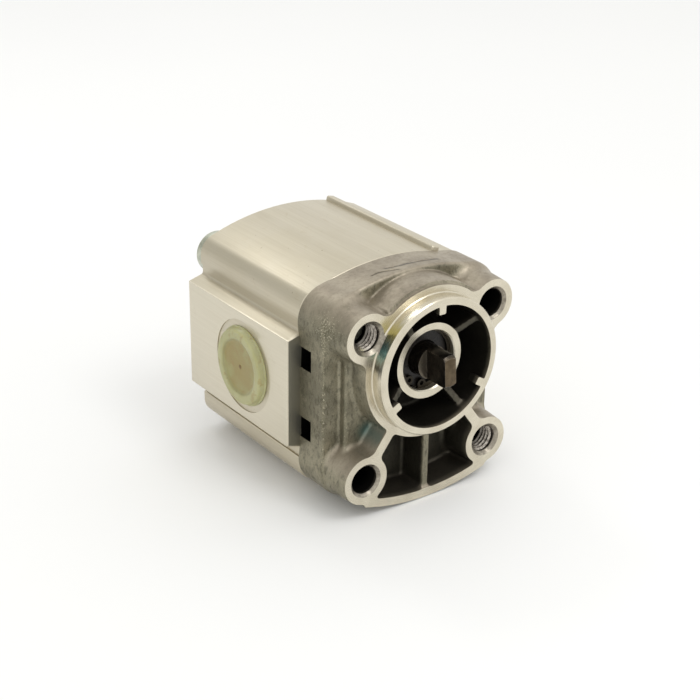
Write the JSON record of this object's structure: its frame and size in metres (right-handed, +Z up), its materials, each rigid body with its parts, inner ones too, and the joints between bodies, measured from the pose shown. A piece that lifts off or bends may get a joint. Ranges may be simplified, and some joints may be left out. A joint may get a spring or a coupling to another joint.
{
  "type": "hydraulic gear pump",
  "caption": "External gear hydraulic pump with cast front flange, extruded body, tang drive shaft, side ports and transit plugs.",
  "frame": {"origin": "on the drive shaft's axis, in the plane of the mounting face", "axes": "+Z up, +Y along the shaft from the mounting face into the pump, +X towards the outlet port"},
  "size_m": [0.0882, 0.1071, 0.0832],
  "materials": {
    "cast_aluminium": "die-cast grey with machined bright faces",
    "extruded_aluminium": "satin extrusion with machined port faces",
    "shaft_steel": "ground, with a phosphated tang",
    "bearing_alloy": "machined alloy",
    "bush_bronze": "sintered bronze",
    "seal_rubber": "black nitrile",
    "backup_plastic": "natural nylon",
    "spring_steel": "bright steel",
    "circlip_steel": "phosphated spring steel",
    "zinc_steel": "zinc plated",
    "plug_plastic": "translucent yellow-green polyethylene"
  },
  "bodies": {
    "housing": {"front_flange": "cast_aluminium", "pump_body": "extruded_aluminium", "front_bearing_block": "bearing_alloy", "rear_bearing_block": "bearing_alloy", "front_drive_bush": "bush_bronze", "front_driven_bush": "bush_bronze", "rear_drive_bush": "bush_bronze", "rear_driven_bush": "bush_bronze", "front_pressure_seal": "seal_rubber", "rear_pressure_seal": "seal_rubber", "front_backup_ring": "backup_plastic", "rear_backup_ring": "backup_plastic", "body_seal": "seal_rubber", "shaft_seal": "seal_rubber", "seal_garter_spring": "spring_steel", "seal_circlip": "circlip_steel", "tie_bolts": "zinc_steel", "locating_dowels": "spring_steel"},
    "drive_gear": {"drive_gear_shaft": "shaft_steel"},
    "driven_gear": {"driven_gear_shaft": "shaft_steel"},
    "inlet_plug": {"inlet_plug": "plug_plastic"},
    "outlet_plug": {"outlet_plug": "plug_plastic"}
  },
  "joints": [
    {"name": "drive_spin", "type": "hinge", "parent": "housing", "child": "drive_gear", "pos_m": [0, 0, 0], "axis": [0, 1, 0], "continuous": true},
    {"name": "driven_spin", "type": "hinge", "parent": "housing", "child": "driven_gear", "pos_m": [0, 0, -0.023], "axis": [0, 1, 0], "continuous": true},
    {"name": "inlet_plug_pull", "type": "slide", "parent": "housing", "child": "inlet_plug", "axis": [-1, 0, 0], "range_m": [0, 0.02]},
    {"name": "outlet_plug_pull", "type": "slide", "parent": "housing", "child": "outlet_plug", "axis": [1, 0, 0], "range_m": [0, 0.02]}
  ],
  "couplings": [
    {"joint": "driven_spin", "follows": "drive_spin", "ratio": -1}
  ]
}
